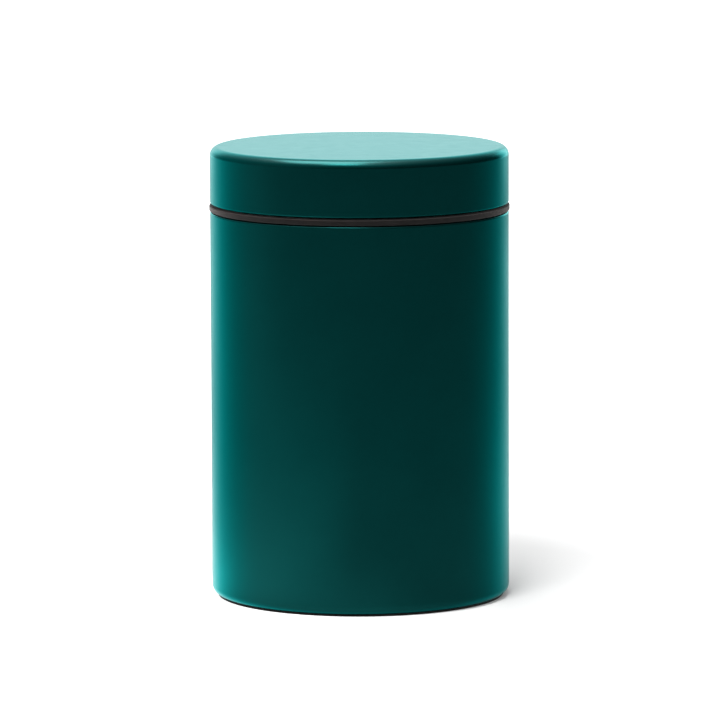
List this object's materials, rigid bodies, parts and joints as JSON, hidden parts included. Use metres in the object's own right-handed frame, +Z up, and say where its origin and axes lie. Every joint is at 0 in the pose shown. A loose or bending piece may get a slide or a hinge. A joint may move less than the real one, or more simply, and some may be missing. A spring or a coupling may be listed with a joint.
{
  "type": "supplement canister",
  "caption": "Cylindrical powder-coated steel canister with a pull-off plug lid. A silicone band shows between lid and can, and its finned sleeve seals the mouth.",
  "frame": {"origin": "centre of the circle that the canister stands on, on the surface under its pad", "axes": "+Z up along the axis of the can, towards the lid; -Y towards the viewer of the picture"},
  "size_m": [0.1106, 0.1106, 0.1665],
  "materials": {
    "green_paint": "satin powder coat in deep teal green",
    "black_silicone": "satin moulded silicone, near black",
    "bare_steel": "stainless steel, finely turned",
    "black_moulding": "matte black moulding",
    "grey_foam": "matte grey foam"
  },
  "bodies": {
    "can": {"body_shell": "green_paint", "base_pad": "black_silicone"},
    "seal": {"seal_ring": "black_silicone"},
    "lid": {"plug_pan": "bare_steel", "lid_cap": "green_paint", "lid_core": "black_moulding", "cap_bonding_disc": "grey_foam", "pan_bonding_disc": "grey_foam"}
  },
  "joints": [
    {"name": "lid_lift", "type": "slide", "parent": "can", "child": "seal", "axis": [0, 0, 1], "range_m": [0, 0.12]},
    {"name": "lid_turn", "type": "hinge", "parent": "seal", "child": "lid", "pos_m": [0, 0, 0.1426], "axis": [0, 0, 1], "continuous": true}
  ]
}
